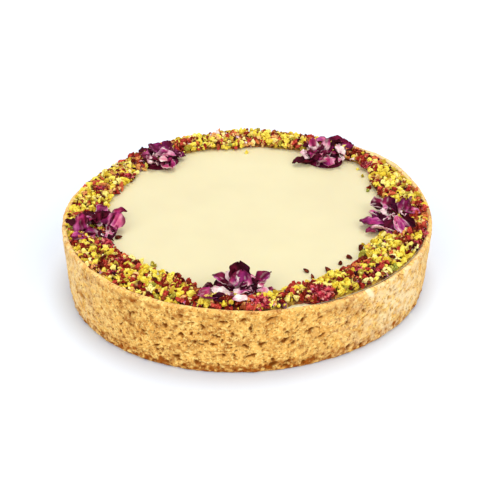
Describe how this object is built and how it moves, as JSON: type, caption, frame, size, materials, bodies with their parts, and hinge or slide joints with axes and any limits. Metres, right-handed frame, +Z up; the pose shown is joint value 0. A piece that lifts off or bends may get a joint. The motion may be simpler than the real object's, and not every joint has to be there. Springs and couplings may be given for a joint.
{
  "type": "cream tart with pistachio, raspberry and rose petals",
  "caption": "Round straight-sided pastry tart filled level with pale cream, edged with chopped pistachio, dried raspberry crumbs and heaps of dried rose petals.",
  "frame": {"origin": "Bottom centre of the tart's bounding box, in the plane of the surface it stands on.", "axes": "+Z up through the top of the tart. +X to the right and +Y away from the viewer in the picture, with the tallest heap of petals on the -Y side."},
  "size_m": [0.1855, 0.1852, 0.0482],
  "materials": {
    "pastry": "baked sandy shortcrust, matt, golden tan with darker pits",
    "cream": "smooth pale yellow set cream, soft satin",
    "crumbs": "chopped pistachio and freeze-dried raspberry, matt",
    "petals": "dried rose petals, purple to wine red with pale bases, dull sheen"
  },
  "bodies": {
    "root": {"pastry_shell": "pastry", "cream_filling": "cream", "crumb_border": "crumbs", "rose_petals_back_right": "petals", "rose_petals_back_left": "petals", "rose_petals_left": "petals", "rose_petals_front": "petals", "rose_petals_right": "petals"}
  },
  "joints": []
}
